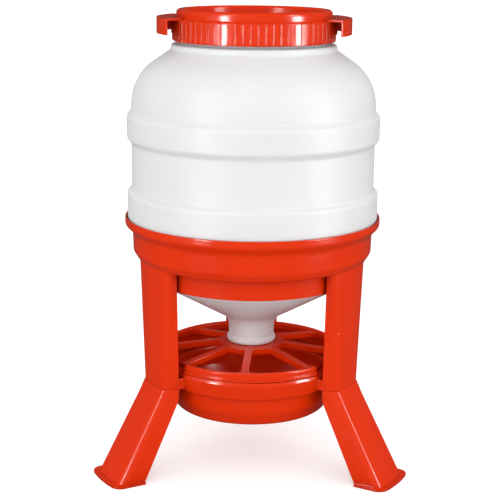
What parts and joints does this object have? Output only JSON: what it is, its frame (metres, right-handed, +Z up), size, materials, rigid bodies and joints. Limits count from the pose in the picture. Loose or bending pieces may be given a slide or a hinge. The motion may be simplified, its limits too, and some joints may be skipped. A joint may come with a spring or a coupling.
{
  "type": "gravity poultry feeder",
  "caption": "Free-standing gravity feeder: a screw-lidded plastic barrel held spout-down in a legged ring above a bowl with a spoked feed grid.",
  "frame": {"origin": "middle of the footprint's bounding box, on the floor; the barrel's axis stands 33.4 mm in front of it, at x = 0, y = -0.0334", "axes": "+Z up along the barrel's axis, -Y towards the front (the open side between two legs), +X to the right seen from the front"},
  "size_m": [0.5016, 0.4751, 0.7304],
  "materials": {
    "barrel_plastic": "satin blow-moulded polyethylene, slightly translucent",
    "red_plastic": "semi-gloss injection-moulded polypropylene",
    "seal_rubber": "matt"
  },
  "bodies": {
    "stand": {"stand": "red_plastic", "foot_front_left": "red_plastic", "foot_front_right": "red_plastic", "foot_rear": "red_plastic"},
    "barrel": {"hopper_barrel": "barrel_plastic"},
    "gasket": {"lid_gasket": "seal_rubber"},
    "lid": {"screw_lid": "red_plastic"},
    "grid": {"feed_grid": "red_plastic"},
    "bowl": {"feed_bowl": "red_plastic"}
  },
  "joints": [
    {"name": "barrel_lift", "type": "slide", "parent": "stand", "child": "barrel", "axis": [0, 0, 1], "range_m": [0, 0.25]},
    {"name": "lid_rise", "type": "slide", "parent": "barrel", "child": "gasket", "axis": [0, 0, 1], "range_m": [0, 0.045]},
    {"name": "lid_turn", "type": "hinge", "parent": "gasket", "child": "lid", "pos_m": [0, -0.0334, 0.7], "axis": [0, 0, 1], "range_deg": [0, 1620]},
    {"name": "grid_lift", "type": "slide", "parent": "stand", "child": "grid", "axis": [0, 0, 1], "range_m": [0, 0.0625]},
    {"name": "bowl_lift", "type": "slide", "parent": "stand", "child": "bowl", "axis": [0, 0, 1], "range_m": [0, 0.025]}
  ],
  "couplings": [
    {"joint": "lid_turn", "follows": "lid_rise", "rad_per_m": 628.32},
    {"joint": "grid_lift", "follows": "barrel_lift", "ratio": 0.25},
    {"joint": "bowl_lift", "follows": "barrel_lift", "ratio": 0.1}
  ]
}
